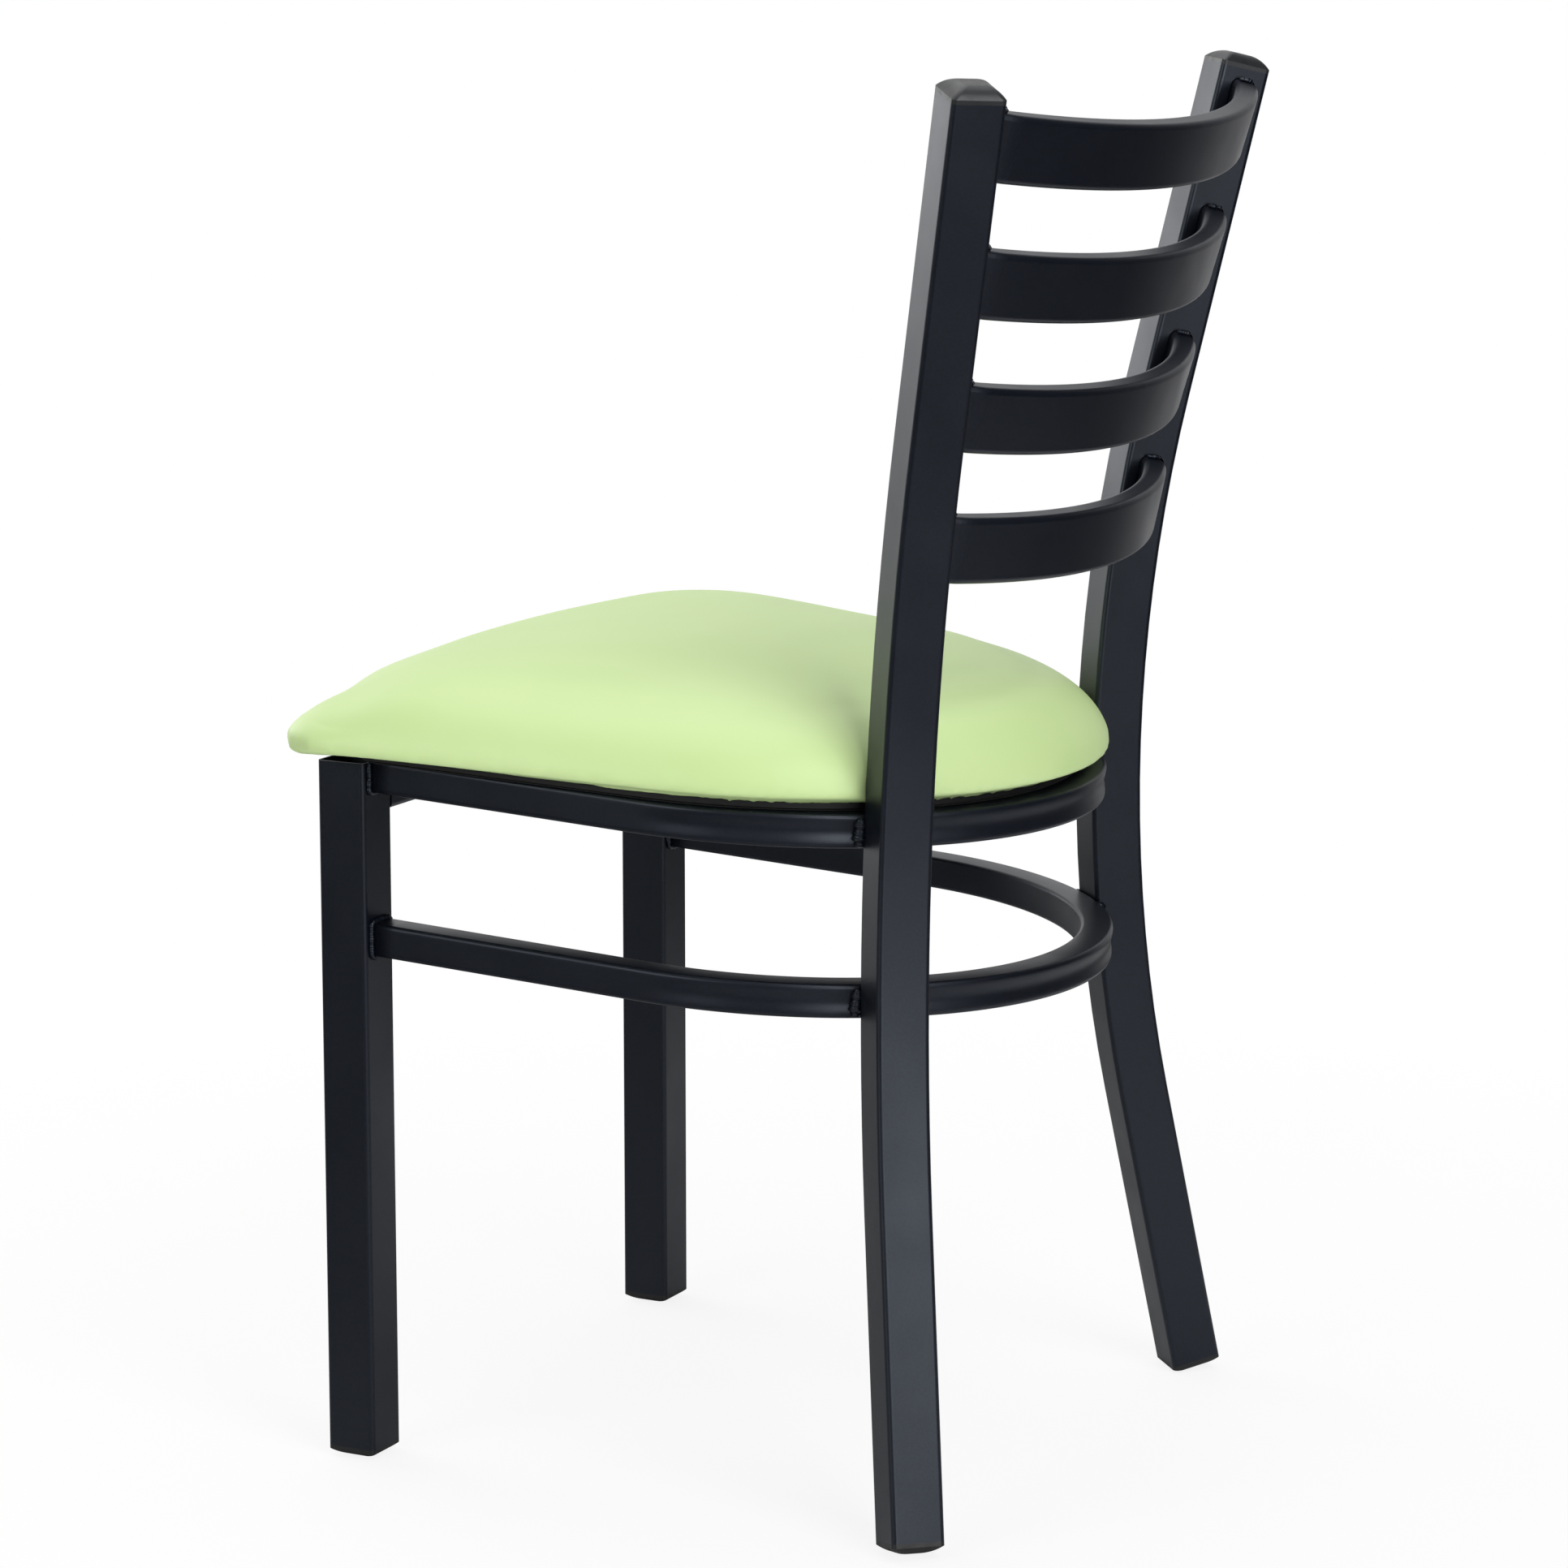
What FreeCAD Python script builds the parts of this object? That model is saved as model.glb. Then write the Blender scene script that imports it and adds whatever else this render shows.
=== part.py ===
import FreeCAD, Part
import math
import os
import Sketcher
from FreeCAD import Placement, Rotation, Vector

# Ladderback chair: welded square tube frame, four bowed back slats, a crowned vinyl seat pad.
# X runs to the sitter's left, Y to the rear, Z up. Lengths are millimetres, angles degrees.
# Two frames of reference: the floor frame, for what stands upright, and the seat frame, which
# is tipped to the rear about X and carries the rings, the rear posts, the slats and the seat.

SIZES = [
    # square tubes
    ("tube_side", 31.75, "front legs, front rail and rear posts, across the flats"),
    ("tube_corner", 3.0, "their outside corner radius"),
    ("tube_wall", 1.2, "their wall"),
    ("bar_side", 20.0, "seat ring and stretcher ring tube, across the flats"),
    ("bar_corner", 2.5, "its outside corner radius"),
    ("bar_wall", 1.2, "its wall"),
    # stance
    ("frame_slope", 2.8, "fall of the seat frame to the rear"),
    ("leg_spread", 401.2, "over the outer faces of the front legs"),
    ("seat_ring_height", 419.3, "seat ring centre line, in the seat frame"),
    ("leg_rise", 7.0, "top of the front legs over that line"),
    ("seat_arc_centre", 185.5, "centre of the seat ring's rear bend behind the front"),
    ("stretcher_height", 321.1, "stretcher ring centre line, in the seat frame"),
    ("weld_gap", 0.05, "root gap where a post meets a ring"),
    # rear posts
    ("waist_height", 455.1, "where the post's bend is upright"),
    ("post_bend", 987.5, "bend radius of the post"),
    ("foot_lean", 14.6, "lean of the straight foot end"),
    ("top_lean", 11.3, "lean of the straight top end"),
    ("post_top", 841.8, "upper end of the tube, in the seat frame"),
    # slats
    ("slat_drop", 26.1, "middle of the top slat's ends under the posts' upper ends"),
    ("slat_pitch", 76.2, "step from slat to slat"),
    ("slat_height", 39.0, "section height"),
    ("slat_thick", 13.7, "section thickness"),
    ("slat_corner", 3.5, "section corner radius"),
    ("slat_wall", 1.2, "section wall"),
    ("slat_sweep", 24.0, "half angle of the long bow"),
    ("slat_bend", 25.0, "radius of the short end bend"),
    ("slat_turn", 39.0, "angle of the straight end"),
    ("slat_stub", 4.0, "straight end outside the post"),
    ("slat_entry", 7.0, "straight end inside the post"),
    ("slot_gap", 0.4, "clearance round a slat in its slot"),
    ("slot_play", 1.2, "further clearance at the slat's rear face"),
    # caps and glides
    ("cap_lip", 2.5, "straight edge of the post cap"),
    ("cap_rise", 8.4, "height of the post cap"),
    ("cap_crown", 13.0, "flat on top of the post cap"),
    ("cap_plug", 8.0, "plug of the post cap inside the tube"),
    ("glide_lip", 2.5, "straight edge of the foot glide"),
    ("glide_rise", 7.0, "height of the foot glide"),
    ("glide_crown", 10.0, "flat sole of the foot glide"),
    ("glide_plug", 14.0, "plug of the foot glide inside the tube"),
    ("plug_gap", 0.2, "clearance of a plug in the tube"),
    # seat
    ("cushion_half", 240.0, "half width at the front corners"),
    ("cushion_front", -50.0, "front edge, ahead of the seat frame's origin"),
    ("cushion_bow", 1056.0, "radius of the bowed front edge"),
    ("cushion_corner", 31.4, "corner radius"),
    ("cushion_rear", 207.4, "radius of the rounded rear"),
    ("rear_centre", 172.9, "centre of the rounded rear"),
    ("cushion_edge", 9.6, "height of the widest line over the board's underside"),
    ("shoulder_run", 56.5, "inward run of the rounded shoulder"),
    ("shoulder_rise", 41.8, "rise of the shoulder over the widest line"),
    ("crown_rise", 15.0, "rise of the crown over the shoulder"),
    ("board_thick", 11.0, "seat board"),
    ("board_inset", 36.0, "seat board inside the cushion's widest line, front and sides"),
    ("board_rear", 15.0, "the same at the rounded rear"),
    ("cover_thick", 1.0, "turned-under cover"),
    ("margin_reach", 8.0, "cover margin past the ring's inner wall"),
    ("dust_thick", 0.4, "dust cover, between the cover margin and the frame"),
    ("dust_inset", 1.5, "dust cover inside the seat board's edge"),
    ("cushion_gap", 0.3, "cushion to the rear posts that it is fitted round"),
    # seat fixings
    ("tab_reach", 26.0, "seat tab, inward from the ring"),
    ("tab_width", 30.0, "seat tab, along the ring"),
    ("tab_thick", 3.0, "seat tab"),
    ("tab_corner", 4.0, "seat tab corner radius"),
    ("tab_front", 60.0, "front tabs, behind the front"),
    ("tab_rear", 168.0, "rear tabs, behind the front"),
    ("tab_hole", 6.0, "hole in the tab"),
    ("tab_hole_reach", 17.0, "hole centre, inward from the ring"),
    ("screw_shank", 4.6, "seat screw shank"),
    ("screw_length", 13.5, "seat screw under its head"),
    ("screw_head", 9.6, "seat screw head"),
    ("screw_head_height", 3.0, "seat screw head height"),
    ("screw_gap", 0.05, "pilot hole round the shank"),
    ("staple_length", 10.0, "staple crown"),
    ("staple_width", 1.3, "staple wire width"),
    ("staple_thick", 0.7, "staple wire thickness"),
    ("staple_step", 26.0, "step from staple to staple"),
    # welds
    ("bead_radius", 3.0, "bead at a post and ring"),
    ("bead_height", 17.0, "its height"),
    ("bead_clear", 0.15, "tube wall left behind a bead"),
    ("collar_rim", 2.2, "bead round a ring end at a front leg"),
    ("collar_length", 3.2, "its length along the ring"),
    ("slot_bead", 2.1, "bead above and below a slat"),
    ("slot_bead_length", 9.0, "its length"),
]

doc = FreeCAD.newDocument("LadderbackChair")
sheet = doc.addObject("Spreadsheet::Sheet", "Sizes")
for row, (name, value, note) in enumerate(SIZES, start=1):
    sheet.set("A%d" % row, name)
    sheet.set("B%d" % row, str(value))
    sheet.set("C%d" % row, note)
    sheet.setAlias("B%d" % row, name)
doc.recompute()


def size(name):
    return float(sheet.get(name))


def derive(name, formula, note):
    """A size that follows from others, kept in the sheet below them."""
    row = len(SIZES) + 1 + len(derived)
    derived.append(name)
    sheet.set("A%d" % row, name)
    sheet.set("B%d" % row, "=" + formula)
    sheet.set("C%d" % row, note)
    sheet.setAlias("B%d" % row, name)
    doc.recompute()


derived = []
derive("leg_height", "seat_ring_height + leg_rise", "floor to the top of the front legs")
derive("slat_first", "post_top - slat_drop", "height of the top slat's ends, in the seat frame")


def sin(name):
    return math.sin(math.radians(size(name)))


def cos(name):
    return math.cos(math.radians(size(name)))


SEAT = Placement(Vector(0, 0, 0), Rotation(Vector(1, 0, 0), -size("frame_slope")))
FLOOR = Placement()
DIAGONAL = Rotation(Vector(0, 0, 1), 45)
placed = []
subparts = []


# Helpers for objects of the document

def place(obj, frame, position=Vector(0, 0, 0), rotation=Rotation()):
    obj.Placement = frame.multiply(Placement(position, rotation))
    placed.append(obj)
    return obj


def keep(obj, label):
    obj.Label = label
    subparts.append(obj)
    return obj


def origin_plane(body, role):
    for feature in body.Origin.OriginFeatures:
        if feature.Role == role:
            return feature
    raise ValueError(role)


def sketch_on(body, role, name, lift=None):
    sketch = body.newObject("Sketcher::SketchObject", name)
    sketch.AttachmentSupport = [(origin_plane(body, role), "")]
    sketch.MapMode = "FlatFace"
    if lift:
        sketch.setExpression("AttachmentOffset.Base.z", lift)
    return sketch


def bind(sketch, constraint, text):
    index = sketch.addConstraint(constraint)
    sketch.setExpression("Constraints[%d]" % index, text)
    return index


def rounded_rectangle(sketch, wide, high, corner, guess):
    """Rounded rectangle about the sketch origin; sizes are expressions, guess their numbers."""
    a, b, r = guess[0] / 2.0, guess[1] / 2.0, guess[2]
    up = Vector(0, 0, 1)
    first = sketch.GeometryCount
    ends = [(-a + r, -b, a - r, -b), (a, -b + r, a, b - r),
            (a - r, b, -a + r, b), (-a, b - r, -a, -b + r)]
    for x1, y1, x2, y2 in ends:
        sketch.addGeometry(Part.LineSegment(Vector(x1, y1, 0), Vector(x2, y2, 0)), False)
    middles = [(a - r, -b + r), (a - r, b - r), (-a + r, b - r), (-a + r, -b + r)]
    for turn, (x, y) in enumerate(middles):
        start = (turn - 1) * math.pi / 2
        circle = Part.Circle(Vector(x, y, 0), up, r)
        sketch.addGeometry(Part.ArcOfCircle(circle, start, start + math.pi / 2), False)
    for turn in range(4):
        line = first + turn
        arc = first + 4 + turn
        following = first + (turn + 1) % 4
        sketch.addConstraint(Sketcher.Constraint("Tangent", line, 2, arc, 1))
        sketch.addConstraint(Sketcher.Constraint("Tangent", arc, 2, following, 1))
        if turn:
            sketch.addConstraint(Sketcher.Constraint("Equal", first + 4, arc))
    sketch.addConstraint(Sketcher.Constraint("Horizontal", first))
    sketch.addConstraint(Sketcher.Constraint("Vertical", first + 1))
    sketch.addConstraint(Sketcher.Constraint("Symmetric", first + 4, 3, first + 6, 3, -1, 1))
    bind(sketch, Sketcher.Constraint("DistanceX", first + 3, 1, first + 1, 1, guess[0]), wide)
    bind(sketch, Sketcher.Constraint("DistanceY", first, 1, first + 2, 1, guess[1]), high)
    bind(sketch, Sketcher.Constraint("Radius", first + 4, r), corner)


def cell(name):
    return "Sizes." + name


def section(sketch, wide, high, corner, wall=None, extra=0.0):
    """Outline of a bar, with its bore when a wall is named."""
    a, b, r = size(wide), size(high), size(corner)
    rectangle = [cell(wide), cell(high), cell(corner)]
    rounded_rectangle(sketch, rectangle[0], rectangle[1], rectangle[2], (a, b, r))
    if wall:
        t = size(wall)
        inner = ["%s - 2 * %s" % (cell(wide), cell(wall)), "%s - 2 * %s" % (cell(high), cell(wall))]
        inner_corner = "%s - %s" % (cell(corner), cell(wall))
        rounded_rectangle(sketch, inner[0], inner[1], inner_corner, (a - 2 * t, b - 2 * t, r - t))


def pad(body, sketch, length, reverse=False):
    feature = body.newObject("PartDesign::Pad", "Pad")
    feature.Profile = sketch
    feature.setExpression("Length", length)
    feature.Reversed = reverse
    sketch.Visibility = False
    return feature


def pipe(body, profile, spine):
    feature = body.newObject("PartDesign::AdditivePipe", "Pipe")
    feature.Profile = profile
    feature.Spine = (spine, ["Edge%d" % (i + 1) for i in range(spine.GeometryCount)])
    feature.Mode = "Standard"
    feature.Transition = "Transformed"
    return feature


def bar(name, wide, high, corner, guess, length):
    """Solid bar of rounded section, its sizes given as expressions."""
    body = doc.addObject("PartDesign::Body", name)
    sketch = sketch_on(body, "XY_Plane", name + "Section")
    rounded_rectangle(sketch, wide, high, corner, guess)
    pad(body, sketch, length)
    return body


def tube(name, length):
    body = doc.addObject("PartDesign::Body", name)
    sketch = sketch_on(body, "XY_Plane", name + "Section")
    section(sketch, "tube_side", "tube_side", "tube_corner", "tube_wall")
    pad(body, sketch, length)
    return body


def cut(name, base, tools):
    result = doc.addObject("Part::Cut", name)
    result.Base = base
    if len(tools) > 1:
        tool = doc.addObject("Part::Compound", name + "Tools")
        tool.Links = tools
    else:
        tool = tools[0]
    result.Tool = tool
    return result


def mirror(name, source):
    twin = doc.addObject("Part::Mirroring", name)
    twin.Source = source
    twin.Base = Vector(0, 0, 0)
    twin.Normal = Vector(1, 0, 0)
    return twin


def group(name, members):
    compound = doc.addObject("Part::Compound", name)
    compound.Links = members
    return compound


def pair(label, left):
    keep(left, label + "_left")
    right = mirror(label + "Right", left)
    keep(right, label + "_right")
    return right


# Front legs and front rail

leg_x = (size("leg_spread") - size("tube_side")) / 2
leg_y = size("tube_side") / 2
front_leg = tube("FrontLeg", "Sizes.leg_height - Sizes.glide_rise")
place(front_leg, FLOOR, Vector(leg_x, leg_y, size("glide_rise")))
pair("front_leg", front_leg)

front_rail = tube("FrontRail", "Sizes.leg_spread - 2 * Sizes.tube_side")
rail_z = size("leg_height") - size("tube_side") / 2
rail_x = size("leg_spread") / 2 - size("tube_side")
place(front_rail, FLOOR, Vector(-rail_x, leg_y, rail_z), Rotation(Vector(0, 1, 0), 90))
keep(front_rail, "front_rail")


# End pieces: caps on the posts and glides under the feet, domed, each held by a plug in the tube

def square(body, name, side, corner, guess, lift=None):
    """Rounded square; side and corner are expressions, guess holds their numbers."""
    sketch = sketch_on(body, "XY_Plane", name, lift)
    rounded_rectangle(sketch, side, side, corner, (guess[0], guess[0], guess[1]))
    return sketch


def end_piece(name, kind):
    """Straight lip on the tube's end at the origin, then a dome along Z to a small flat."""
    body = doc.addObject("PartDesign::Body", name)
    lip, rise, crown = [cell(kind + part) for part in ("_lip", "_rise", "_crown")]
    side, corner = cell("tube_side"), cell("tube_corner")
    wide, flat, bend = size("tube_side"), size(kind + "_crown"), size("tube_corner")
    pad(body, square(body, "Lip", side, corner, (wide, bend)), lip)
    edge = square(body, "DomeEdge", side, corner, (wide, bend), lip)
    shoulder = square(body, "DomeShoulder", "0.3 * %s + 0.7 * %s" % (crown, side), corner,
                      (0.3 * flat + 0.7 * wide, bend), "0.5 * %s + 0.5 * %s" % (lip, rise))
    top = square(body, "DomeFlat", crown, corner, (flat, bend), rise)
    doc.recompute()
    dome = body.newObject("PartDesign::AdditiveLoft", "Dome")
    dome.Profile = edge
    dome.Sections = [shoulder, top]
    dome.Ruled = False
    inner = "Sizes.tube_side - 2 * Sizes.tube_wall - 2 * Sizes.plug_gap"
    bore = wide - 2 * size("tube_wall") - 2 * size("plug_gap")
    plug = square(body, "Plug", inner, "Sizes.tube_corner - Sizes.tube_wall",
                  (bore, bend - size("tube_wall")))
    pad(body, plug, cell(kind + "_plug"), reverse=True)
    doc.recompute()
    return body


DOWNWARD = Rotation(Vector(1, 0, 0), 180)
front_glide = end_piece("FrontGlide", "glide")
place(front_glide, FLOOR, Vector(leg_x, leg_y, size("glide_rise")), DOWNWARD)
pair("foot_glide_front", front_glide)


# Rear posts: the waist of the bend is the body's origin and X its outward diagonal

def post_offset(height):
    """Outward diagonal offset of the post's centre line from its waist."""
    rise = height - size("waist_height")
    lean = "top_lean" if rise > 0 else "foot_lean"
    bend = size("post_bend")
    straight = bend * sin(lean)
    if abs(rise) <= straight:
        return bend - math.sqrt(bend ** 2 - rise ** 2)
    return bend * (1 - cos(lean)) + (abs(rise) - straight) * sin(lean) / cos(lean)


def post_slope(height):
    """Outward run per unit of height, above the waist."""
    rise = min(height - size("waist_height"), size("post_bend") * sin("top_lean"))
    return rise / math.sqrt(size("post_bend") ** 2 - rise ** 2)


root2 = math.sqrt(2.0)
ring_radius = leg_x
ring_outer = ring_radius + size("bar_side") / 2
seat_ring_top = size("seat_ring_height") + size("bar_side") / 2
touch = size("seat_arc_centre") / root2 + ring_outer + size("weld_gap")
waist_out = touch + size("tube_side") / 2 - post_offset(seat_ring_top)
waist_cross = -size("seat_arc_centre") / root2
waist_z = size("waist_height")


def diagonal(out, cross, height):
    return Vector((out + cross) / root2, (out - cross) / root2, height)


def post_path(body, lean, end, upward):
    sketch = sketch_on(body, "XZ_Plane", "Path")
    bend = size("post_bend")
    angle = math.radians(size(lean))
    sign = 1 if upward else -1
    circle = Part.Circle(Vector(bend, 0, 0), Vector(0, 0, 1), bend)
    if upward:
        arc = Part.ArcOfCircle(circle, math.pi - angle, math.pi)
    else:
        arc = Part.ArcOfCircle(circle, math.pi, math.pi + angle)
    knee = Vector(bend * (1 - math.cos(angle)), sign * bend * math.sin(angle), 0)
    reach = (abs(end) - bend * math.sin(angle)) / math.cos(angle)
    tip = knee + Vector(math.sin(angle), sign * math.cos(angle), 0) * reach
    sketch.addGeometry(arc, False)
    sketch.addGeometry(Part.LineSegment(knee, tip), False)
    near, far = (2, 1) if upward else (1, 2)
    sketch.addConstraint(Sketcher.Constraint("Coincident", 0, near, -1, 1))
    sketch.addConstraint(Sketcher.Constraint("PointOnObject", 0, 3, -1))
    sketch.addConstraint(Sketcher.Constraint("Tangent", 0, far, 1, 1))
    bind(sketch, Sketcher.Constraint("Radius", 0, bend), cell("post_bend"))
    slant = math.atan2(sign * math.cos(angle), math.sin(angle))
    text = "(90 - %s) * 1deg" % cell(lean) if upward else "(%s - 90) * 1deg" % cell(lean)
    bind(sketch, Sketcher.Constraint("Angle", 1, slant), text)
    if upward:
        text = "Sizes.post_top - Sizes.waist_height"
        bind(sketch, Sketcher.Constraint("DistanceY", -1, 1, 1, 2, end), text)
    else:
        sketch.addConstraint(Sketcher.Constraint("DistanceY", 1, 2, -1, 1, abs(end)))
    return sketch


def post_at_floor(level):
    """The post's centre line at a height over the floor: its point, and its height in the seat frame."""
    low, high = -waist_z, waist_z
    for step in range(60):
        middle = (low + high) / 2
        point = SEAT.multVec(diagonal(waist_out + post_offset(middle), waist_cross, middle))
        if point.z > level:
            high = middle
        else:
            low = middle
    return point, middle


# The post ends where its glide, tilted with it, just reaches the floor
rear_glide = end_piece("RearGlide", "glide")
foot_turn = DIAGONAL.multiply(Rotation(Vector(0, 1, 0), -size("foot_lean"))).multiply(DOWNWARD)
foot_turn = SEAT.Rotation.multiply(foot_turn)
tilted = rear_glide.Shape.copy()
tilted.Placement = Placement(Vector(0, 0, 0), foot_turn)
foot_centre, foot_height = post_at_floor(-tilted.optimalBoundingBox(False, False).ZMin)
place(rear_glide, FLOOR, foot_centre, foot_turn)
pair("foot_glide_rear", rear_glide)

post = doc.addObject("PartDesign::Body", "PostTube")
post_section = sketch_on(post, "XY_Plane", "PostSection")
section(post_section, "tube_side", "tube_side", "tube_corner", "tube_wall")
upper_path = post_path(post, "top_lean", size("post_top") - waist_z, True)
lower_path = post_path(post, "foot_lean", foot_height - waist_z, False)
doc.recompute()
pipe(post, post_section, upper_path)
pipe(post, post_section, lower_path)
place(post, SEAT, diagonal(waist_out, waist_cross, waist_z), DIAGONAL)

post_cap = end_piece("PostCap", "cap")
top_out = waist_out + post_offset(size("post_top"))
lean_out = Rotation(Vector(0, 1, 0), size("top_lean"))
place(post_cap, SEAT, diagonal(top_out, waist_cross, size("post_top")), DIAGONAL.multiply(lean_out))


# Back slats, each in a plane of its own that leans with the posts

SLATS = ["slat_top", "slat_upper", "slat_lower", "slat_bottom"]


def slat_frame(index):
    """Plane of a slat, and the half width between its posts' faces."""
    height = size("slat_first") - index * size("slat_pitch")
    face = diagonal(waist_out + post_offset(height), waist_cross - size("tube_side") / 2, height)
    slope = post_slope(height)
    tangent = sin("slat_turn") / cos("slat_turn")
    lean = math.degrees(math.atan(slope * (1 + tangent) / root2))
    tilt = Rotation(Vector(1, 0, 0), -lean)
    return Placement(Vector(0, face.y, face.z), tilt), face.x


def slat_radius(reach):
    bends = size("slat_bend") * (sin("slat_turn") - sin("slat_sweep"))
    return (reach - size("slat_stub") * cos("slat_turn") - bends) / sin("slat_sweep")


def slat_depth(reach):
    """Bow of the slat from its middle to where its ends meet the posts."""
    bends = size("slat_bend") * (cos("slat_sweep") - cos("slat_turn"))
    bow = slat_radius(reach) * (1 - cos("slat_sweep"))
    return bow + bends + size("slat_stub") * sin("slat_turn")


def slat_path(body, reach):
    sketch = sketch_on(body, "XY_Plane", "Bow")
    up = Vector(0, 0, 1)
    bow, bend = slat_radius(reach), size("slat_bend")
    sweep, turn = math.radians(size("slat_sweep")), math.radians(size("slat_turn"))
    middle = Vector(0, -bow, 0)
    hinge = middle + Vector(math.sin(sweep), math.cos(sweep), 0) * (bow - bend)
    start = hinge + Vector(math.sin(turn), math.cos(turn), 0) * bend
    length = size("slat_stub") + size("slat_entry")
    end = start + Vector(math.cos(turn), -math.sin(turn), 0) * length
    quarter = math.pi / 2
    sketch.addGeometry(Part.ArcOfCircle(Part.Circle(middle, up, bow), quarter - sweep, quarter), False)
    sketch.addGeometry(Part.ArcOfCircle(Part.Circle(hinge, up, bend), quarter - turn, quarter - sweep), False)
    sketch.addGeometry(Part.LineSegment(start, end), False)
    sketch.addConstraint(Sketcher.Constraint("Coincident", 0, 2, -1, 1))
    sketch.addConstraint(Sketcher.Constraint("PointOnObject", 0, 3, -2))
    sketch.addConstraint(Sketcher.Constraint("Tangent", 0, 1, 1, 2))
    sketch.addConstraint(Sketcher.Constraint("Tangent", 1, 1, 2, 1))
    sketch.addConstraint(Sketcher.Constraint("Radius", 0, bow))
    sketch.addConstraint(Sketcher.Constraint("DistanceX", -1, 1, 0, 1, bow * math.sin(sweep)))
    bind(sketch, Sketcher.Constraint("Radius", 1, bend), cell("slat_bend"))
    bind(sketch, Sketcher.Constraint("Angle", 2, -turn), "-%s * 1deg" % cell("slat_turn"))
    bind(sketch, Sketcher.Constraint("Distance", 2, length), "Sizes.slat_stub + Sizes.slat_entry")
    return sketch


def mirrored_pipe(body, profile, path):
    doc.recompute()
    half = pipe(body, profile, path)
    whole = body.newObject("PartDesign::Mirrored", "Mirrored")
    whole.Originals = [half]
    whole.MirrorPlane = (origin_plane(body, "YZ_Plane"), [""])
    body.Tip = whole


slot_tools = []
slats = []
slat_beads = []
for index, label in enumerate(SLATS):
    plane, reach = slat_frame(index)
    slat = doc.addObject("PartDesign::Body", label.title().replace("_", ""))
    profile = sketch_on(slat, "YZ_Plane", "Section")
    section(profile, "slat_thick", "slat_height", "slat_corner", "slat_wall")
    mirrored_pipe(slat, profile, slat_path(slat, reach))
    place(slat, SEAT.multiply(plane), Vector(0, slat_depth(reach), 0))
    slats.append(keep(slat, label))

    gap = "2 * Sizes.slot_gap"
    opening = [
        "Sizes.slat_thick + Sizes.slot_play + " + gap,
        "Sizes.slat_height + " + gap,
        "Sizes.slat_corner + Sizes.slot_gap",
    ]
    clear, play = size("slot_gap"), size("slot_play")
    guess = (size("slat_thick") + play + 2 * clear, size("slat_height") + 2 * clear,
             size("slat_corner") + clear)
    slot = bar("Slot%d" % (index + 1), opening[0], opening[1], opening[2], guess,
               "2 * Sizes.slat_entry")
    along = Rotation(Vector(0, 0, 1), -size("slat_turn")).multiply(
        Rotation(Vector(0, 1, 0), Vector(0, 0, 1), Vector(1, 0, 0), "ZXY"))
    back = Vector(cos("slat_turn"), -sin("slat_turn"), 0) * -size("slat_entry")
    rearward = Vector(sin("slat_turn"), cos("slat_turn"), 0) * (play / 2)
    place(slot, SEAT.multiply(plane), Vector(reach, 0, 0) + back + rearward, along)
    slot_tools.append(slot)

    for side in (1, -1):
        bead = doc.addObject("Part::Cylinder", "SlotBead")
        bead.setExpression("Radius", cell("slot_bead"))
        bead.setExpression("Height", cell("slot_bead_length"))
        sunk = size("slot_bead") - size("slat_wall") + size("bead_clear")
        height = side * (size("slat_height") / 2 + sunk)
        start = Vector(reach, 0, height) - Vector(1, 1, 0) * (size("slot_bead_length") / 2 / root2)
        start += Vector(-1, 1, 0) * ((size("slot_bead") - size("tube_wall") + size("bead_clear")) / root2)
        lie = Rotation(Vector(0, 0, 1), Vector(1, 1, 0))
        place(bead, SEAT.multiply(plane), start, lie)
        slat_beads.append(bead)

rear_post = cut("RearPost", post, slot_tools)
pair("rear_post", rear_post)

# The cap's plug is notched round the end of the top slat
pair("post_cap", cut("NotchedCap", post_cap, slot_tools[:1]))


# Seat ring and stretcher ring: tube bent to a half circle, butted to the front legs

def ring_start(height):
    """Where the lower edge of a ring meets the rear face of a front leg."""
    low = height - size("bar_side") / 2
    return (size("tube_side") - low * sin("frame_slope")) / cos("frame_slope")


def ring(name, label, height, centre):
    body = doc.addObject("PartDesign::Body", name)
    profile = sketch_on(body, "YZ_Plane", "Section")
    section(profile, "bar_side", "bar_side", "bar_corner", "bar_wall")
    path = sketch_on(body, "XY_Plane", "Path")
    radius = ring_radius
    length = centre - ring_start(height)
    circle = Part.Circle(Vector(0, -radius, 0), Vector(0, 0, 1), radius)
    path.addGeometry(Part.ArcOfCircle(circle, 0, math.pi / 2), False)
    side = Part.LineSegment(Vector(radius, -radius, 0), Vector(radius, -radius - length, 0))
    path.addGeometry(side, False)
    path.addConstraint(Sketcher.Constraint("Coincident", 0, 2, -1, 1))
    path.addConstraint(Sketcher.Constraint("PointOnObject", 0, 3, -2))
    path.addConstraint(Sketcher.Constraint("Tangent", 0, 1, 1, 1))
    path.addConstraint(Sketcher.Constraint("Vertical", 1))
    bind(path, Sketcher.Constraint("Radius", 0, radius), "(Sizes.leg_spread - Sizes.tube_side) / 2")
    path.addConstraint(Sketcher.Constraint("DistanceY", 1, 2, 1, 1, length))
    mirrored_pipe(body, profile, path)
    place(body, SEAT, Vector(0, centre + radius, height))
    return keep(body, label)


stretcher_top = size("stretcher_height") + size("bar_side") / 2
lean_back = math.cos(math.asin((waist_z - stretcher_top) / size("post_bend")))
post_face = waist_out + post_offset(stretcher_top) - size("tube_side") / 2 / lean_back
stretcher_centre = (post_face - size("weld_gap") - ring_outer) * root2
seat_ring = ring("SeatRing", "seat_ring", size("seat_ring_height"), size("seat_arc_centre"))
stretcher_ring = ring("StretcherRing", "stretcher_ring", size("stretcher_height"), stretcher_centre)


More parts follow.
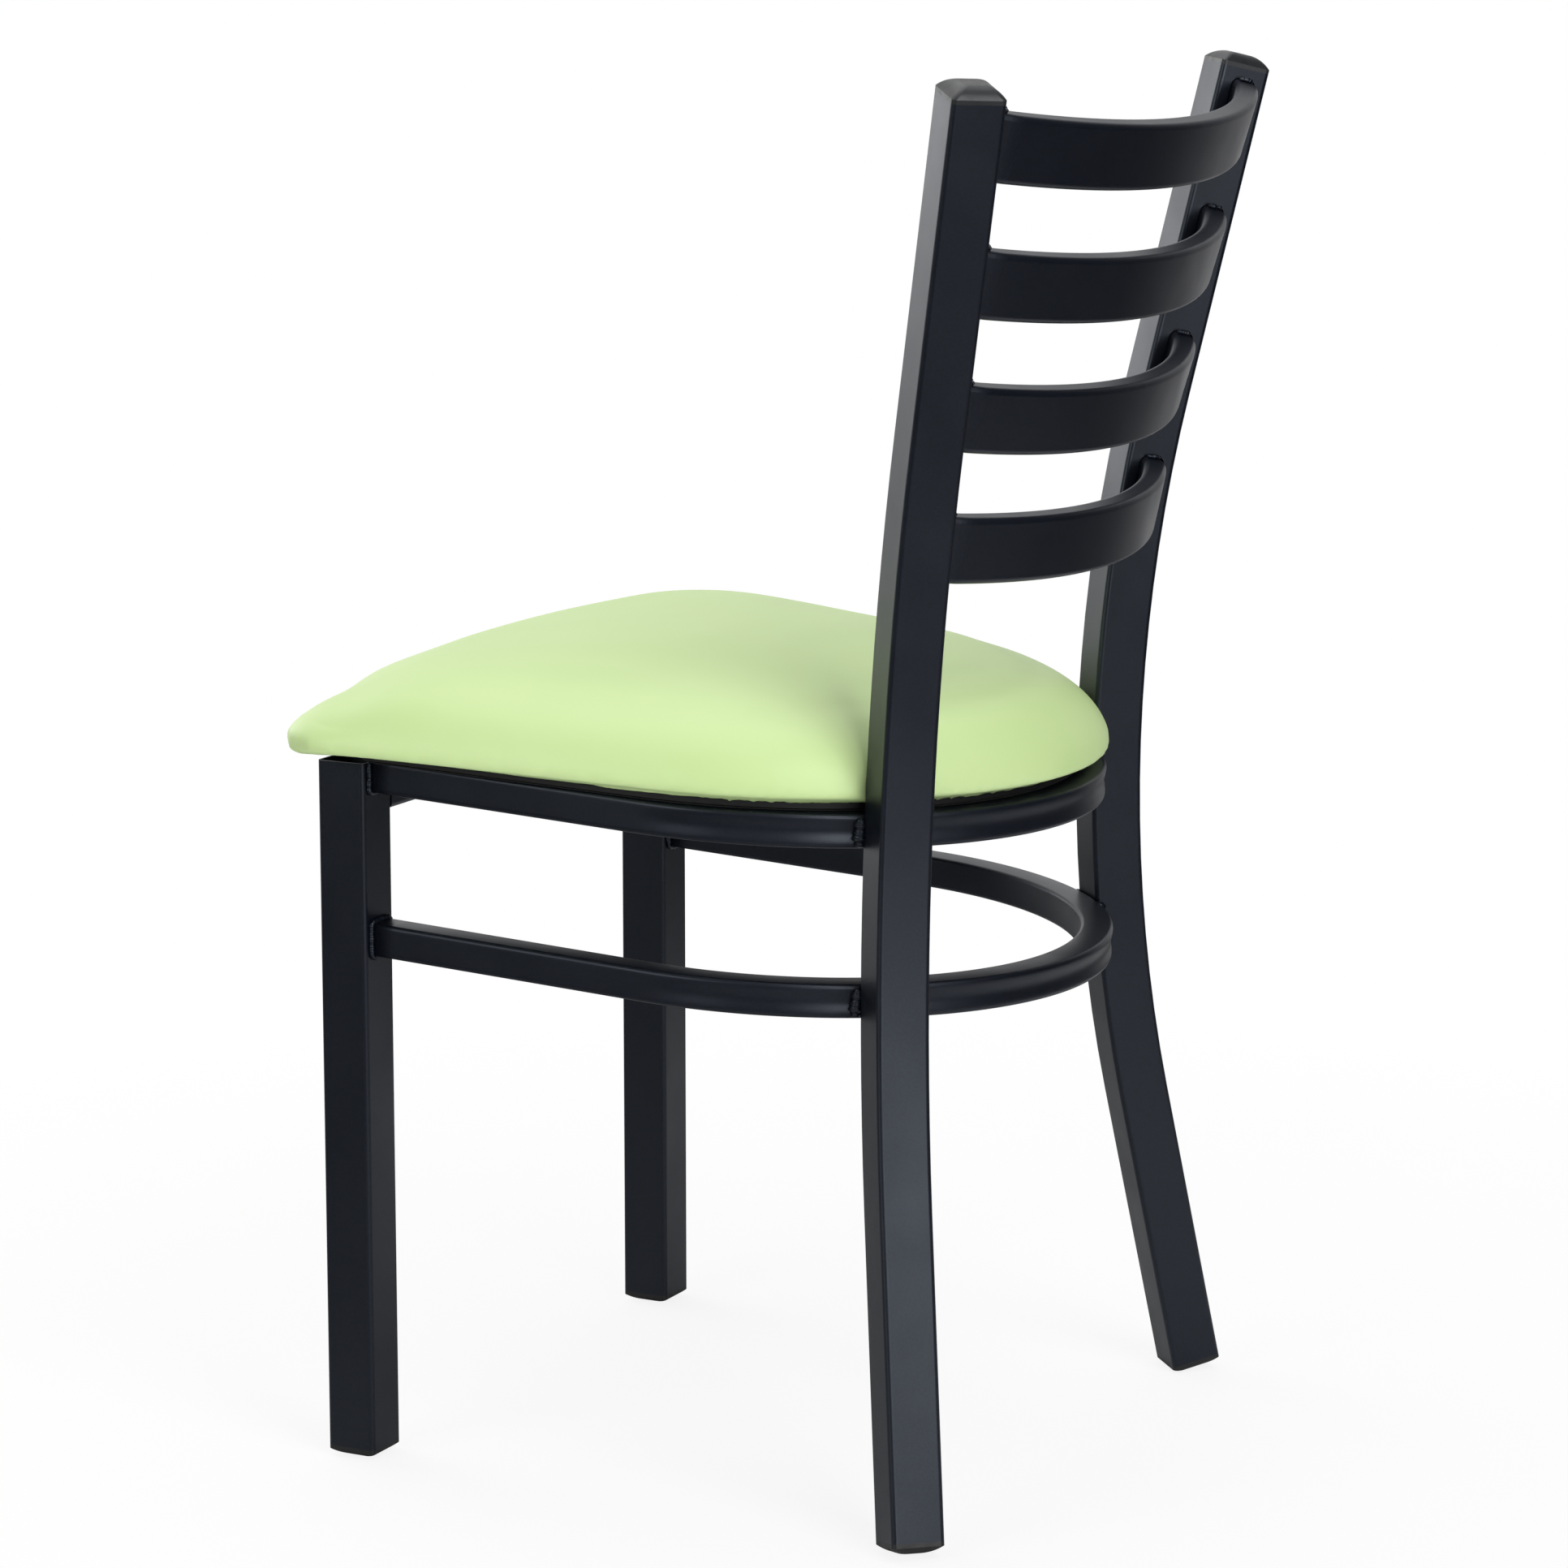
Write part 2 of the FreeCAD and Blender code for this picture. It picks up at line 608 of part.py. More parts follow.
# Seat outline: bowed front, round corners, straight sides, round rear

def outline(inset, rear_inset, corner, height, scale=1.0):
    """The cushion's widest line, moved in by inset, and by rear_inset at the rounded rear."""
    half = size("cushion_half") - inset
    bow = size("cushion_bow") - inset
    rear = size("cushion_rear") - rear_inset
    front = size("cushion_front") + size("cushion_bow")
    back = size("rear_centre")
    middle = Vector(half - corner, 0, 0)
    middle.y = front - math.sqrt((bow - corner) ** 2 - middle.x ** 2)
    toward = math.atan2(back - middle.y, -middle.x)
    far = math.hypot(back - middle.y, middle.x)
    angle = toward - math.acos((corner - rear) / far)
    facing = math.atan2(middle.y - front, middle.x)

    def at(centre, radius, direction, side):
        x = centre.x + radius * math.cos(direction)
        y = centre.y + radius * math.sin(direction)
        return Vector(side * x * scale, back + (y - back) * scale, height)

    nose = Vector(0, front, 0)
    tail = Vector(0, back, 0)
    knee = (facing + angle) / 2
    haunch = (angle + math.pi / 2) / 2
    end = at(tail, rear, math.pi / 2, 1)
    edges = [
        Part.Arc(at(nose, bow, facing, -1), at(nose, bow, -math.pi / 2, 1), at(nose, bow, facing, 1)),
        Part.Arc(at(middle, corner, facing, 1), at(middle, corner, knee, 1),
                 at(middle, corner, angle, 1)),
        Part.LineSegment(at(middle, corner, angle, 1), at(tail, rear, angle, 1)),
        Part.Arc(at(tail, rear, angle, 1), at(tail, rear, haunch, 1), end),
        Part.Arc(end, at(tail, rear, haunch, -1), at(tail, rear, angle, -1)),
        Part.LineSegment(at(tail, rear, angle, -1), at(middle, corner, angle, -1)),
        Part.Arc(at(middle, corner, angle, -1), at(middle, corner, knee, -1),
                 at(middle, corner, facing, -1)),
    ]
    return Part.Wire([edge.toShape() for edge in edges])


def ring_outline(inset, height):
    """Line inside the seat ring's inner wall: straight front and sides, half-round rear."""
    half = ring_radius - size("bar_side") / 2 - inset
    start = ring_start(size("seat_ring_height")) + inset
    back = size("seat_arc_centre")
    turn = half / root2
    edges = [
        Part.LineSegment(Vector(-half, start, height), Vector(half, start, height)),
        Part.LineSegment(Vector(half, start, height), Vector(half, back, height)),
        Part.Arc(Vector(half, back, height), Vector(turn, back + turn, height),
                 Vector(0, back + half, height)),
        Part.Arc(Vector(0, back + half, height), Vector(-turn, back + turn, height),
                 Vector(-half, back, height)),
        Part.LineSegment(Vector(-half, back, height), Vector(-half, start, height)),
    ]
    return Part.Wire([edge.toShape() for edge in edges])


def plate(name, wires, thick):
    face = doc.addObject("Part::Feature", name + "Outline")
    face.Shape = Part.makeFace(wires, "Part::FaceMakerBullseye")
    place(face, SEAT)
    solid = doc.addObject("Part::Extrusion", name)
    solid.Base = face
    solid.DirMode = "Normal"
    solid.Solid = True
    solid.setExpression("LengthFwd", cell(thick))
    return solid


# Seat board, turned-under cover margin and dust cover, stacked on the ring

dust_z = seat_ring_top
cover_z = dust_z + size("dust_thick")
board_z = cover_z + size("cover_thick")
tab_x = ring_radius - size("bar_side") / 2 - size("tab_hole_reach")
screw_spots = [(side * tab_x, y) for y in (size("tab_front"), size("tab_rear")) for side in (1, -1)]


def screw_holes(name, radius, bottom, height):
    holes = []
    for x, y in screw_spots:
        hole = doc.addObject("Part::Cylinder", name)
        hole.setExpression("Radius", radius)
        hole.setExpression("Height", height)
        place(hole, SEAT, Vector(x, y, bottom))
        holes.append(hole)
    return holes


def board_outline(inset, height):
    sides, rear = size("board_inset") + inset, size("board_rear") + inset
    return outline(sides, rear, size("cushion_corner") / 2, height)


board = plate("Board", [board_outline(0, board_z)], "board_thick")
pilots = screw_holes("Pilot", "Sizes.screw_shank / 2 + Sizes.screw_gap", board_z,
                     "Sizes.board_thick - Sizes.cover_thick")
seat_board = keep(cut("SeatBoard", board, pilots), "seat_board")

margin_edge = ring_outline(size("margin_reach"), cover_z)
margin = plate("CoverMargin", [board_outline(0, cover_z), margin_edge], "cover_thick")
keep(margin, "cover_margin")

dust_sheet = plate("DustSheet", [board_outline(size("dust_inset"), dust_z)], "dust_thick")
passages = screw_holes("Passage", "Sizes.tab_hole / 2", dust_z, "Sizes.dust_thick")
keep(cut("DustCover", dust_sheet, passages), "dust_cover")


# Weld beads, trimmed to the tubes that they join

def ring_welds(name, label, ring_body, height, centre, trims):
    beads = []
    sunk = size("bead_radius") - size("bar_wall") + size("bead_clear")
    reach = size("tube_side") / 2 + size("bead_radius") - size("tube_wall") + size("bead_clear")
    for side in (1, -1):
        cross = waist_cross + side * reach
        across = cross + centre / root2
        out = centre / root2 + math.sqrt((ring_outer + sunk) ** 2 - across ** 2)
        bead = doc.addObject("Part::Cylinder", name + "Bead")
        bead.setExpression("Radius", cell("bead_radius"))
        bead.setExpression("Height", cell("bead_height"))
        place(bead, SEAT, diagonal(out, cross, height - size("bead_height") / 2))
        beads.append(bead)
    wide = "Sizes.bar_side + 2 * Sizes.collar_rim"
    around = "Sizes.bar_corner + Sizes.collar_rim"
    a, r = size("bar_side") + 2 * size("collar_rim"), size("bar_corner") + size("collar_rim")
    collar = doc.addObject("PartDesign::Body", name + "Collar")
    outline = sketch_on(collar, "XY_Plane", "Collar")
    rounded_rectangle(outline, wide, wide, around, (a, a, r))
    b, s = size("bar_side") - size("bar_wall"), size("bar_corner") - size("bar_wall") / 2
    inside = ["Sizes.bar_side - Sizes.bar_wall", "Sizes.bar_corner - Sizes.bar_wall / 2"]
    rounded_rectangle(outline, inside[0], inside[0], inside[1], (b, b, s))
    base = pad(collar, outline, cell("collar_length"))
    doc.recompute()
    rim = []
    for index, line in enumerate(base.Shape.Edges):
        spot = line.CenterOfMass
        outer = max(abs(spot.x), abs(spot.y)) > size("bar_side") / 2
        if outer and spot.z > size("collar_length") - 0.01 and line.BoundBox.ZLength < 0.01:
            rim.append(index)
    ease = collar.newObject("PartDesign::Chamfer", "Ease")
    ease.Base = (base, ["Edge%d" % (i + 1) for i in rim])
    ease.setExpression("Size", "Sizes.collar_rim * 0.8")
    start = ring_start(height) - size("bar_side") * sin("frame_slope")
    back = Rotation(Vector(1, 0, 0), -90)
    place(collar, SEAT, Vector(ring_radius, start, height), back)
    beads.append(collar)
    joined = [rear_post, ring_body, front_leg]
    left = cut(name + "Left", group(name + "Beads", beads), joined + trims)
    right = mirror(name + "Right", left)
    return keep(group(name, [left, right]), label)


seat_ring_welds = ring_welds("SeatWelds", "seat_ring_welds", seat_ring,
                             size("seat_ring_height"), size("seat_arc_centre"),
                             [board, margin, dust_sheet])
stretcher_welds = ring_welds("StretcherWelds", "stretcher_welds", stretcher_ring,
                             size("stretcher_height"), stretcher_centre, [])
left_beads = cut("SlatWeldsLeft", group("SlatBeads", slat_beads), [rear_post] + slats)
right_beads = mirror("SlatWeldsRight", left_beads)
slat_welds = keep(group("SlatWelds", [left_beads, right_beads]), "slat_welds")


# Cushion: drawn in under the edge, rounded shoulder, crowned top

def cushion_wires():
    widest = board_z + size("cushion_edge")
    corner = size("cushion_corner")
    under, rear = size("board_inset") - 1.0, size("board_rear") - 1.0
    wires = []
    for drop, share in ((1.0, 1.0), (0.66, 0.62), (0.4, 0.3), (0.16, 0.08), (0.0, 0.0)):
        low = widest - drop * size("cushion_edge")
        wires.append(outline(under * share, rear * share, corner - under * share / 2, low))
    for angle in (10, 20, 30, 40, 50, 60, 70, 80):
        bend = math.radians(angle)
        inset = size("shoulder_run") * (1 - math.cos(bend) ** 1.28)
        lift = size("shoulder_rise") * math.sin(bend)
        wires.append(outline(inset, inset, corner + inset / 2, widest + lift))
    top = widest + lift
    for share in (0.1, 0.25, 0.4, 0.55, 0.7, 0.85):
        rise = size("crown_rise") * (1 - (1 - share) ** 2)
        wires.append(outline(inset, inset, corner + inset / 2, top + rise, 1 - share))
    return wires


crowned = doc.addObject("Part::Feature", "Crowned")
crowned.Shape = Part.makeLoft(cushion_wires(), True, True)
place(crowned, SEAT)
relief = doc.addObject("Part::Box", "PostRelief")
relief.setExpression("Length", cell("tube_side"))
relief.setExpression("Width", "Sizes.tube_side + 2 * Sizes.cushion_gap")
relief.setExpression("Height", "Sizes.cushion_edge + Sizes.shoulder_rise + Sizes.crown_rise")
relief_out = waist_out - size("tube_side") / 2 - size("cushion_gap")
relief_cross = waist_cross + size("tube_side") / 2 + size("cushion_gap")
place(relief, SEAT, diagonal(relief_out, relief_cross, dust_z), DIAGONAL)
reliefs = [relief, mirror("PostReliefRight", relief)]
keep(cut("SeatCushion", crowned, [board] + reliefs), "seat_cushion")


# Seat tabs inside the ring, and the screws through them into the board

def seat_tab(name, label, along):
    body = doc.addObject("PartDesign::Body", name)
    sketch = sketch_on(body, "XY_Plane", "Plate")
    a, b, r = size("tab_reach"), size("tab_width"), size("tab_corner")
    rounded_rectangle(sketch, cell("tab_reach"), cell("tab_width"), cell("tab_corner"), (a, b, r))
    offset = a / 2 - size("tab_hole_reach")
    circle = Part.Circle(Vector(offset, 0, 0), Vector(0, 0, 1), size("tab_hole") / 2)
    hole = sketch.addGeometry(circle, False)
    bind(sketch, Sketcher.Constraint("Radius", hole, size("tab_hole") / 2), "Sizes.tab_hole / 2")
    sketch.addConstraint(Sketcher.Constraint("PointOnObject", hole, 3, -1))
    text = "Sizes.tab_reach / 2 - Sizes.tab_hole_reach"
    if offset >= 0:
        bind(sketch, Sketcher.Constraint("DistanceX", -1, 1, hole, 3, offset), text)
    else:
        bind(sketch, Sketcher.Constraint("DistanceX", hole, 3, -1, 1, -offset), "-(%s)" % text)
    pad(body, sketch, cell("tab_thick"))
    inner = ring_radius - size("bar_side") / 2
    place(body, SEAT, Vector(inner - a / 2, size(along), seat_ring_top - size("tab_thick")))
    return pair(label, body)


seat_tab("FrontTab", "seat_tab_front", "tab_front")
seat_tab("RearTab", "seat_tab_rear", "tab_rear")

screws = []
for x, y in screw_spots:
    under = seat_ring_top - size("tab_thick")
    shank = doc.addObject("Part::Cylinder", "Shank")
    shank.setExpression("Radius", "Sizes.screw_shank / 2")
    shank.setExpression("Height", cell("screw_length"))
    place(shank, SEAT, Vector(x, y, under))
    head = doc.addObject("Part::Cone", "Head")
    head.setExpression("Radius1", "Sizes.screw_head * 0.35")
    head.setExpression("Radius2", "Sizes.screw_head / 2")
    head.setExpression("Height", cell("screw_head_height"))
    place(head, SEAT, Vector(x, y, under - size("screw_head_height")))
    screw = doc.addObject("Part::MultiFuse", "SeatScrew")
    screw.Shapes = [head, shank]
    screws.append(screw)
keep(group("SeatScrews", screws), "seat_screws")


# Staples: they hold the dust cover and the cover margin, just inside the ring

def staple(x, y, turn):
    wire = doc.addObject("Part::Box", "Staple")
    wire.setExpression("Length", cell("staple_width"))
    wire.setExpression("Width", cell("staple_length"))
    wire.setExpression("Height", cell("staple_thick"))
    corner = Vector(-size("staple_width") / 2, -size("staple_length") / 2, -size("staple_thick"))
    spot = Placement(Vector(x, y, dust_z), Rotation(Vector(0, 0, 1), turn))
    place(wire, SEAT.multiply(spot), corner)
    return wire


staple_line = ring_radius - size("bar_side") / 2 - size("margin_reach") / 2
clear_of_tab = (size("tab_width") + size("staple_length")) / 2 + 2
staples = []
y = ring_start(size("seat_ring_height")) + size("staple_length")
while y < size("seat_arc_centre"):
    if min(abs(y - size("tab_front")), abs(y - size("tab_rear"))) > clear_of_tab:
        staples.append(staple(staple_line, y, 0))
        staples.append(staple(-staple_line, y, 0))
    y += size("staple_step")
steps = int(math.pi * staple_line / size("staple_step"))
for index in range(1, steps):
    turn = math.pi * index / steps
    if size("seat_arc_centre") + staple_line * math.sin(turn) - size("tab_rear") > clear_of_tab:
        x = staple_line * math.cos(turn)
        y = size("seat_arc_centre") + staple_line * math.sin(turn)
        staples.append(staple(x, y, math.degrees(turn)))
keep(group("CoverStaples", staples), "cover_staples")


# Stand the chair on its origin: the middle of its overall depth, on the floor

doc.recompute()
boxes = [obj.Shape.optimalBoundingBox(False, False) for obj in subparts]
front = min(box.YMin for box in boxes)
rear = max(box.YMax for box in boxes)
middle = Vector(0, (front + rear) / 2, 0)
for obj in placed:
    spot = obj.Placement
    obj.Placement = Placement(spot.Base - middle, spot.Rotation)
doc.recompute()

faults = []
for obj in doc.Objects:
    if "Invalid" in obj.State or "Error" in obj.State:
        faults.append(obj.Label + ": " + ", ".join(obj.State))
for obj in subparts:
    if obj.Shape.isNull() or not obj.Shape.isValid():
        faults.append(obj.Label + ": shape")
    elif not obj.Shape.Solids:
        faults.append(obj.Label + ": no solid")
if faults:
    raise RuntimeError("; ".join(faults))

os.makedirs("parts", exist_ok=True)
for obj, box in zip(subparts, boxes):
    obj.Shape.exportStep("parts/%s.step" % obj.Label)
    print("%-24s %2d solids %10.1f mm3  %7.2f %7.2f %7.2f to %7.2f %7.2f %7.2f" % (
        obj.Label, len(obj.Shape.Solids), obj.Shape.Volume,
        box.XMin, box.YMin - middle.y, box.ZMin, box.XMax, box.YMax - middle.y, box.ZMax))
print("origin behind the front legs' front faces: %.3f" % middle.y)
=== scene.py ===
import math
import bmesh
import bpy
import numpy as np
from mathutils import Matrix, Vector, noise


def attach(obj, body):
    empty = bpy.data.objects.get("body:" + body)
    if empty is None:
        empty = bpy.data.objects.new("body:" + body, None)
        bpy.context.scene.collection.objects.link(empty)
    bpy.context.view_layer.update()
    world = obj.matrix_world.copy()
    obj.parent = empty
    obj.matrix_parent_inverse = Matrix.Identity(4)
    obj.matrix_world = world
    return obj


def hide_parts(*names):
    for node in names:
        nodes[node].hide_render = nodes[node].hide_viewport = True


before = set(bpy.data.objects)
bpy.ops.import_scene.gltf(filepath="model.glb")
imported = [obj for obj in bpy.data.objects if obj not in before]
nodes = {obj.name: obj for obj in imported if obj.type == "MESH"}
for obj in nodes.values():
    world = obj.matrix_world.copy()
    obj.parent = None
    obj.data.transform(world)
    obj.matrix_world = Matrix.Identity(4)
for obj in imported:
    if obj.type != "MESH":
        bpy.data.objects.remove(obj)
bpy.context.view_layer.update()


# Welded steel tube frame: front legs, front rail and bent rear posts, left as the solids are.
# Square tube in a satin black powder coat, baked on after welding: a dark blue-grey tone, soft
# wide reflections and a fine even pebble that only shows close up.

def hex_colour(text):
    channels = [int(text[i:i + 2], 16) / 255 for i in (1, 3, 5)]
    linear = [c / 12.92 if c <= 0.04045 else ((c + 0.055) / 1.055) ** 2.4 for c in channels]
    return (linear[0], linear[1], linear[2], 1.0)


def new_material(name):
    material = bpy.data.materials.new(name)
    material.use_nodes = True
    return material, material.node_tree.nodes["Principled BSDF"]


def add_node(tree, kind, links=(), **settings):
    """One node: settings by name, links as (own input, other node, its output)."""
    node = tree.nodes.new(kind)
    for name, value in settings.items():
        if hasattr(node, name):
            setattr(node, name, value)
        else:
            node.inputs[name.replace("_", " ")].default_value = value
    for own, other, out in links:
        tree.links.new(other.outputs[out], node.inputs[own])
    return node


def powder_coat(name, dark, light, pebble_mm, depth_mm):
    material, coat = new_material(name)
    tree = material.node_tree
    place = add_node(tree, "ShaderNodeTexCoord")
    cloud = add_node(tree, "ShaderNodeTexNoise", [("Vector", place, "Object")],
                     Scale=1 / 0.060, Detail=3.0)
    speck = add_node(tree, "ShaderNodeTexNoise", [("Vector", place, "Object")],
                     Scale=1000 / (1.8 * pebble_mm), Detail=1.0)
    tone = add_node(tree, "ShaderNodeValToRGB", [("Fac", speck, "Fac")])
    tone.color_ramp.elements[0].position = 0.36
    tone.color_ramp.elements[0].color = hex_colour(dark)
    tone.color_ramp.elements[1].position = 0.66
    tone.color_ramp.elements[1].color = hex_colour(light)
    gloss = add_node(tree, "ShaderNodeMapRange", [("Value", cloud, "Fac")],
                     From_Min=0.3, From_Max=0.7, To_Min=0.36, To_Max=0.44)
    pebble = add_node(tree, "ShaderNodeTexNoise", [("Vector", place, "Object")],
                      Scale=1000 / pebble_mm, Detail=2.0)
    bump = add_node(tree, "ShaderNodeBump", [("Height", pebble, "Fac")],
                    Strength=0.5, Distance=depth_mm / 1000)
    coat.inputs["Specular Tint"].default_value = hex_colour("#E6F0FF")
    tree.links.new(tone.outputs["Color"], coat.inputs["Base Color"])
    tree.links.new(gloss.outputs["Result"], coat.inputs["Roughness"])
    tree.links.new(bump.outputs["Normal"], coat.inputs["Normal"])
    return material


def finish_with(material, *names):
    for name in names:
        mesh = nodes[name].data
        mesh.materials.clear()
        mesh.materials.append(material)


# The pebble of a real satin coat is about 0.4 mm across; 0.8 mm is the finest that still shows.
satin_black = powder_coat("SatinBlackPowderCoat", "#04070F", "#090D18", 0.8, 0.04)
finish_with(satin_black, "front_leg_left", "front_leg_right", "front_rail",
            "rear_post_left", "rear_post_right")


# Back slats: four bowed flat tubes whose ends stand in slots cut in the posts.
# The same steel and coat as the frame.

finish_with(satin_black, "slat_top", "slat_upper", "slat_lower", "slat_bottom")


# Seat ring and stretcher ring: 20 mm square tube, straight at the sides and bent to a half
# circle at the rear. Bending draws the outer wall in, so it is dished from where the bend
# begins and keeps a round shoulder above and below. Same steel and coat, butted to the legs.

# Millimetres. The seat is tipped to the rear about the foot of the front legs' front faces.
MM = 0.001
FRONT_FACES = 222.167
LEG_REAR = -190.36
SEAT_SLOPE = math.radians(2.8)
SEAT = Matrix.Translation((0, -FRONT_FACES * MM, 0)) @ Matrix.Rotation(-SEAT_SLOPE, 4, "X")
RING_RADIUS, BAR, BAR_CORNER, RING_DISH = 184.725, 20.0, 2.5, 0.9
DISH_RUN = math.radians(14)


def bar_profile():
    """Rounded square round the tube: (outward, up, share of the outer wall's dish)."""
    half, reach = BAR / 2, BAR / 2 - BAR_CORNER
    points = []
    for turn, (side, top) in enumerate([(1, 1), (-1, 1), (-1, -1), (1, -1)]):
        for step in range(7):
            angle = math.pi / 2 * (turn + step / 6)
            points.append((side * reach + BAR_CORNER * math.cos(angle),
                           top * reach + BAR_CORNER * math.sin(angle), 0.0))
    for step in range(1, 14):
        up = -reach + 2 * reach * step / 14
        points.append((half, up, 0.5 + 0.5 * math.cos(math.pi * up / reach)))
    return points


def ring_path(start, centre):
    """Stations along the ring, leg to leg: x, y, angle of the outward side, share of bend."""
    straight = [start + (centre - start) * step / 12 for step in range(12)]
    stations = [(RING_RADIUS, y, 0.0, 0.0) for y in straight]
    for step in range(145):
        angle = math.pi * step / 144
        into = min(1.0, min(angle, math.pi - angle) / DISH_RUN)
        stations.append((RING_RADIUS * math.cos(angle), centre + RING_RADIUS * math.sin(angle),
                         angle, into * into * (3 - 2 * into)))
    stations += [(-RING_RADIUS, y, math.pi, 0.0) for y in reversed(straight)]
    return stations


def mesh_piece(name, node, points, faces, material):
    mesh = bpy.data.meshes.new(name)
    mesh.from_pydata(points, [], faces)
    mesh.polygons.foreach_set("use_smooth", [True] * len(mesh.polygons))
    mesh.materials.append(material)
    mesh.update()
    piece = bpy.data.objects.new(name, mesh)
    bpy.context.scene.collection.objects.link(piece)
    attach(piece, "root")
    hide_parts(node)
    return piece


def dished_ring(name, node, start, centre, height):
    profile, stations = bar_profile(), ring_path(start, centre)
    points, faces = [], []
    for place, (x, y, angle, bend) in enumerate(stations):
        outward = Vector((math.cos(angle), math.sin(angle), 0))
        for out, up, share in profile:
            spot = Vector((x, y, height + up)) + outward * (out - RING_DISH * bend * share)
            spot = SEAT @ (spot * MM)
            if place in (0, len(stations) - 1):
                spot.y = LEG_REAR * MM
            points.append(spot)
    count, last = len(profile), len(stations) - 1
    for ring in range(last):
        for step in range(count):
            a, b = ring * count + step, ring * count + (step + 1) % count
            faces.append((a, b, b + count, a + count))
    faces.append(tuple(reversed(range(count))))
    faces.append(tuple(range(last * count, (last + 1) * count)))
    mesh_piece(name, node, points, faces, satin_black)


dished_ring("UpperRingBentTube", "seat_ring", 11.77, 185.5, 419.3)
dished_ring("StretcherRingBentTube", "stretcher_ring", 16.57, 195.9, 321.1)


# Seat tabs: four small plates welded inside the seat ring, each with a hole for a screw.
# Flat steel, coated together with the frame.

finish_with(satin_black, "seat_tab_front_left", "seat_tab_front_right",
            "seat_tab_rear_left", "seat_tab_rear_right")


# Weld beads where rings meet legs and posts, and where the slats enter their slots.
# Steel melted in place, in overlapping ripples of uneven width, and coated with the frame.

weld_coat = powder_coat("PowderCoatOverWeld", "#04070F", "#0B101C", 1.6, 0.12)
RIPPLE, STATION = 1.5 * MM, 0.4 * MM
COLLAR_RADIUS = 1.7


def separate_solids(name):
    """The solids of a group, each as an array of its points, in a steady order."""
    mesh = nodes[name].data
    first, parent = {}, []
    for vertex in mesh.vertices:
        key = tuple(round(value * 20000) for value in vertex.co)
        parent.append(first.setdefault(key, vertex.index))

    def top(index):
        while parent[index] != index:
            index = parent[index]
        return index

    for edge in mesh.edges:
        a, b = top(edge.vertices[0]), top(edge.vertices[1])
        parent[max(a, b)] = min(a, b)
    groups = {}
    for vertex in mesh.vertices:
        groups.setdefault(top(vertex.index), []).append(tuple(vertex.co))
    return [np.array(groups[key]) for key in sorted(groups)]


def rippled_bead(path, radius, closed, seed, points, faces):
    """A bead along a path: overlapping ripples, their width and place uneven."""
    lengths = [0.0]
    for a, b in zip(path, path[1:]):
        lengths.append(lengths[-1] + (b - a).length)
    total = max(8, int(lengths[-1] / STATION))
    spots = []
    for step in range(total):
        along = lengths[-1] * step / (total if closed else total - 1)
        leg = max(i for i in range(len(path) - 1) if lengths[i] <= along + 1e-12)
        share = (along - lengths[leg]) / max(lengths[leg + 1] - lengths[leg], 1e-9)
        spots.append((path[leg].lerp(path[leg + 1], share), along))
    base, around = len(points), 12
    for step, (spot, along) in enumerate(spots):
        before = spots[step - 1 if closed or step else 0][0]
        after = spots[(step + 1) % total if closed or step < total - 1 else step][0]
        ahead = (after - before).normalized()
        side = ahead.cross(Vector((0.31, 0.92, 0.17))).normalized()
        up = ahead.cross(side)
        ripple = abs(math.sin(math.pi * along / RIPPLE))
        ends = 1.0 if closed else min(1.0, (min(step, total - 1 - step) / 5 + 0.1) ** 0.5)
        lump = noise.noise(Vector((along * 420, seed * 7.3, 0.4)))
        width = radius * ends * (0.86 + 0.16 * ripple + 0.42 * lump)
        sway = radius * 0.2 * noise.noise(Vector((along * 300, 3.1, seed * 5.7)))
        for turn in range(around):
            angle = 2 * math.pi * turn / around
            rough = 1 + 0.18 * noise.noise(Vector((along * 900, angle * 1.5, seed)))
            points.append(spot + side * (sway + width * rough * math.cos(angle))
                          + up * (width * rough * math.sin(angle)))
    for step in range(total if closed else total - 1):
        for turn in range(around):
            beside, ahead = (turn + 1) % around, (step + 1) % total
            faces.append((base + step * around + turn, base + step * around + beside,
                          base + ahead * around + beside, base + ahead * around + turn))
    if not closed:
        last = base + (total - 1) * around
        faces.append(tuple(base + turn for turn in reversed(range(around))))
        faces.append(tuple(last + turn for turn in range(around)))


def weld_group(name, node, radius_mm, collar=None):
    """Ripples in place of the plain beads; collar is (height, whether it passes the top)."""
    points, faces = [], []
    for seed, solid in enumerate(separate_solids(node)):
        axes = np.linalg.eigh(np.cov((solid - solid.mean(axis=0)).T))[1]
        turned = solid @ axes
        low, high = turned.min(axis=0), turned.max(axis=0)
        # A straight bead is slim in two directions, a collar round a tube's end only in one.
        if sorted(high - low)[1] < 12 * MM:
            middle = turned.mean(axis=0)
            long = int(np.argmax(high - low))
            ends = []
            for reach in (low[long], high[long]):
                middle[long] = reach
                ends.append(Vector(axes @ middle))
            rippled_bead(ends, radius_mm * MM, False, seed, points, faces)
            continue
        height, over_top = collar
        side = 1 if solid[:, 0].mean() > 0 else -1
        centre = Vector((side * RING_RADIUS, LEG_REAR + 0.9, height)) * MM
        corner, reach = BAR_CORNER + 0.6, BAR / 2 - BAR_CORNER
        path = []
        for turn, (a, b) in enumerate([(1, 1), (-1, 1), (-1, -1), (1, -1)]):
            for step in range(6):
                angle = math.pi / 2 * (turn + step / 5)
                path.append(centre + Vector((a * reach + corner * math.cos(angle), 0,
                                             b * reach + corner * math.sin(angle))) * MM)
        if not over_top:
            # Up both sides and under the tube: the corners of the top are left out.
            path = path[9:] + path[:2]
        rippled_bead(path + path[:1] if over_top else path, COLLAR_RADIUS * MM, over_top, seed,
                     points, faces)
    mesh_piece(name, node, points, faces, weld_coat)


